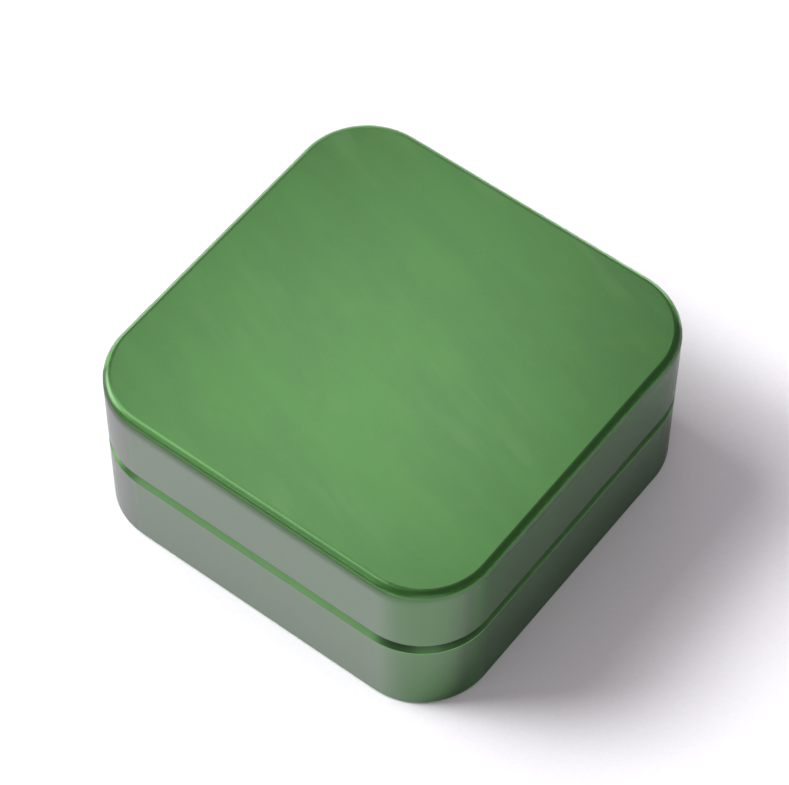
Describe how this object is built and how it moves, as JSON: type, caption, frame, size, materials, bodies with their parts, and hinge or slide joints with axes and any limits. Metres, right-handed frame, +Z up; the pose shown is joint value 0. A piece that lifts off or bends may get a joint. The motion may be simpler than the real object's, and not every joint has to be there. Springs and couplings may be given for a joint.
{
  "type": "cue chalk case",
  "caption": "Square pocket case with rounded corners for a cube of cue chalk: two milled aluminium halves that part at the middle and close with magnets.",
  "frame": {"origin": "centre of the underside, on the surface that the case stands on", "axes": "+Z up, through the lid; X and Y square to the walls, with -Y the front"},
  "size_m": [0.06, 0.06, 0.027],
  "materials": {
    "base_anodised": "fine bead-blasted, dyed green anodising, satin",
    "lid_anodised": "fine bead-blasted, dyed green anodising, satin",
    "magnet": "bright nickel plating",
    "foam": "closed-cell EVA foam, matte",
    "adhesive_foam": "double-sided foam tape",
    "label_paper": "thin coated paper with a plain printed band",
    "chalk": "dry pressed chalk, powdery"
  },
  "bodies": {
    "base": {"base_shell": "base_anodised", "base_magnet_front_left": "magnet", "base_magnet_front_right": "magnet", "base_magnet_back_left": "magnet", "base_magnet_back_right": "magnet", "chalk_insert": "foam", "adhesive_pad": "adhesive_foam", "chalk_label": "label_paper", "chalk_block": "chalk"},
    "lid": {"lid_shell": "lid_anodised", "lid_magnet_front_left": "magnet", "lid_magnet_front_right": "magnet", "lid_magnet_back_left": "magnet", "lid_magnet_back_right": "magnet", "lid_liner": "foam"}
  },
  "joints": [
    {"name": "lid_lift", "type": "slide", "parent": "base", "child": "lid", "axis": [0, 0, 1], "range_m": [0, 0.03]}
  ]
}
